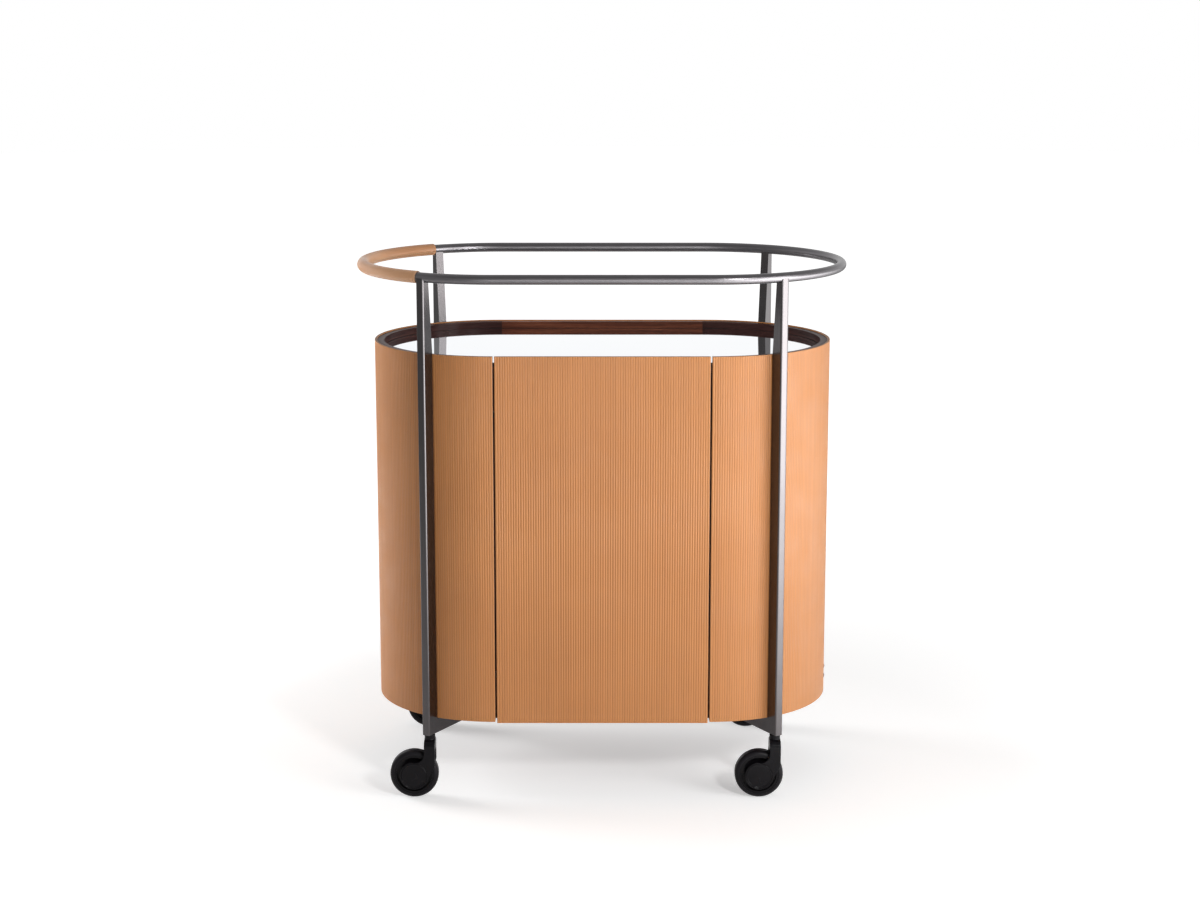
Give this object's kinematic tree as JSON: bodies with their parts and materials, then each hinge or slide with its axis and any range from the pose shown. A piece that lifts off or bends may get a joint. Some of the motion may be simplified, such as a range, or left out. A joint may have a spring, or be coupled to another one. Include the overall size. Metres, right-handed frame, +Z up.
{
  "type": "cheese trolley",
  "caption": "Oval serving cabinet clad in ribbed tan leather, with a sunken glossy top, a hand rail on flat-bar posts, a hinged front door and swivel castors.",
  "frame": {"origin": "on the floor under the middle of the body", "axes": "+X to the right along the body, +Y to the back, +Z up; the door faces -Y"},
  "size_m": [0.814, 0.46, 0.876],
  "materials": {
    "ribbed_leather": "satin, moulded in vertical ribs",
    "sleeve_leather": "satin saddle leather",
    "dark_wood": "satin lacquered walnut",
    "board_wood": "satin lacquered walnut",
    "pale_glass": "back-painted white, polished",
    "black_rubber": "matt",
    "gunmetal": "satin gunmetal",
    "bright_steel": "brushed",
    "black_plastic": "matt",
    "pale_plastic": "matt",
    "castor_black": "satin gloss",
    "castor_tyre": "matt"
  },
  "bodies": {
    "cabinet": {"left_shell": "dark_wood", "right_shell": "dark_wood", "back_panel": "dark_wood", "left_leather": "ribbed_leather", "right_leather": "ribbed_leather", "back_leather": "ribbed_leather", "floor_board": "board_wood", "shelf": "board_wood", "top_board": "board_wood", "glass_top": "pale_glass", "glass_seal": "black_rubber", "left_stile": "dark_wood", "right_stile": "dark_wood", "back_cleats": "dark_wood", "shelf_pins": "bright_steel", "rail": "gunmetal", "rail_leather": "sleeve_leather", "post_front_left": "gunmetal", "post_front_right": "gunmetal", "post_back_left": "gunmetal", "post_back_right": "gunmetal", "post_bolts": "bright_steel", "post_spacers": "black_plastic", "arm_screws": "bright_steel", "castor_stems": "bright_steel", "hinge_arms": "bright_steel", "catch_body": "black_plastic", "catch_magnet": "bright_steel", "fixing_screws": "bright_steel", "door_buffers": "black_rubber", "end_studs": "gunmetal"},
    "door": {"door_panel": "dark_wood", "door_leather": "ribbed_leather", "hinge_pins": "bright_steel", "strike_plate": "bright_steel"},
    "castor_front_left": {"fork_front_left": "castor_black", "bush_front_left": "pale_plastic", "axle_front_left": "bright_steel", "caps_front_left": "castor_black"},
    "wheel_body_front_left": {"wheel_front_left": "castor_black", "tyre_front_left": "castor_tyre"},
    "castor_front_right": {"fork_front_right": "castor_black", "bush_front_right": "pale_plastic", "axle_front_right": "bright_steel", "caps_front_right": "castor_black"},
    "wheel_body_front_right": {"wheel_front_right": "castor_black", "tyre_front_right": "castor_tyre"},
    "castor_back_left": {"fork_back_left": "castor_black", "bush_back_left": "pale_plastic", "axle_back_left": "bright_steel", "caps_back_left": "castor_black"},
    "wheel_body_back_left": {"wheel_back_left": "castor_black", "tyre_back_left": "castor_tyre"},
    "castor_back_right": {"fork_back_right": "castor_black", "bush_back_right": "pale_plastic", "axle_back_right": "bright_steel", "caps_back_right": "castor_black"},
    "wheel_body_back_right": {"wheel_back_right": "castor_black", "tyre_back_right": "castor_tyre"}
  },
  "joints": [
    {"name": "door_hinge", "type": "hinge", "parent": "cabinet", "child": "door", "pos_m": [0.163, -0.19733, 0.4255], "axis": [0, 0, 1], "range_deg": [0, 90]},
    {"name": "swivel_front_left", "type": "hinge", "parent": "cabinet", "child": "castor_front_left", "pos_m": [-0.28513, -0.18901, 0.096], "axis": [0, 0, 1], "continuous": true},
    {"name": "wheel_spin_front_left", "type": "hinge", "parent": "castor_front_left", "child": "wheel_body_front_left", "pos_m": [-0.31112, -0.18901, 0.04], "axis": [0, 1, 0], "continuous": true},
    {"name": "swivel_front_right", "type": "hinge", "parent": "cabinet", "child": "castor_front_right", "pos_m": [0.28513, -0.18901, 0.096], "axis": [0, 0, 1], "continuous": true},
    {"name": "wheel_spin_front_right", "type": "hinge", "parent": "castor_front_right", "child": "wheel_body_front_right", "pos_m": [0.25912, -0.18901, 0.04], "axis": [0, 1, 0], "continuous": true},
    {"name": "swivel_back_left", "type": "hinge", "parent": "cabinet", "child": "castor_back_left", "pos_m": [-0.28513, 0.18901, 0.096], "axis": [0, 0, 1], "continuous": true},
    {"name": "wheel_spin_back_left", "type": "hinge", "parent": "castor_back_left", "child": "wheel_body_back_left", "pos_m": [-0.31112, 0.18901, 0.04], "axis": [0, 1, 0], "continuous": true},
    {"name": "swivel_back_right", "type": "hinge", "parent": "cabinet", "child": "castor_back_right", "pos_m": [0.28513, 0.18901, 0.096], "axis": [0, 0, 1], "continuous": true},
    {"name": "wheel_spin_back_right", "type": "hinge", "parent": "castor_back_right", "child": "wheel_body_back_right", "pos_m": [0.25912, 0.18901, 0.04], "axis": [0, 1, 0], "continuous": true}
  ]
}
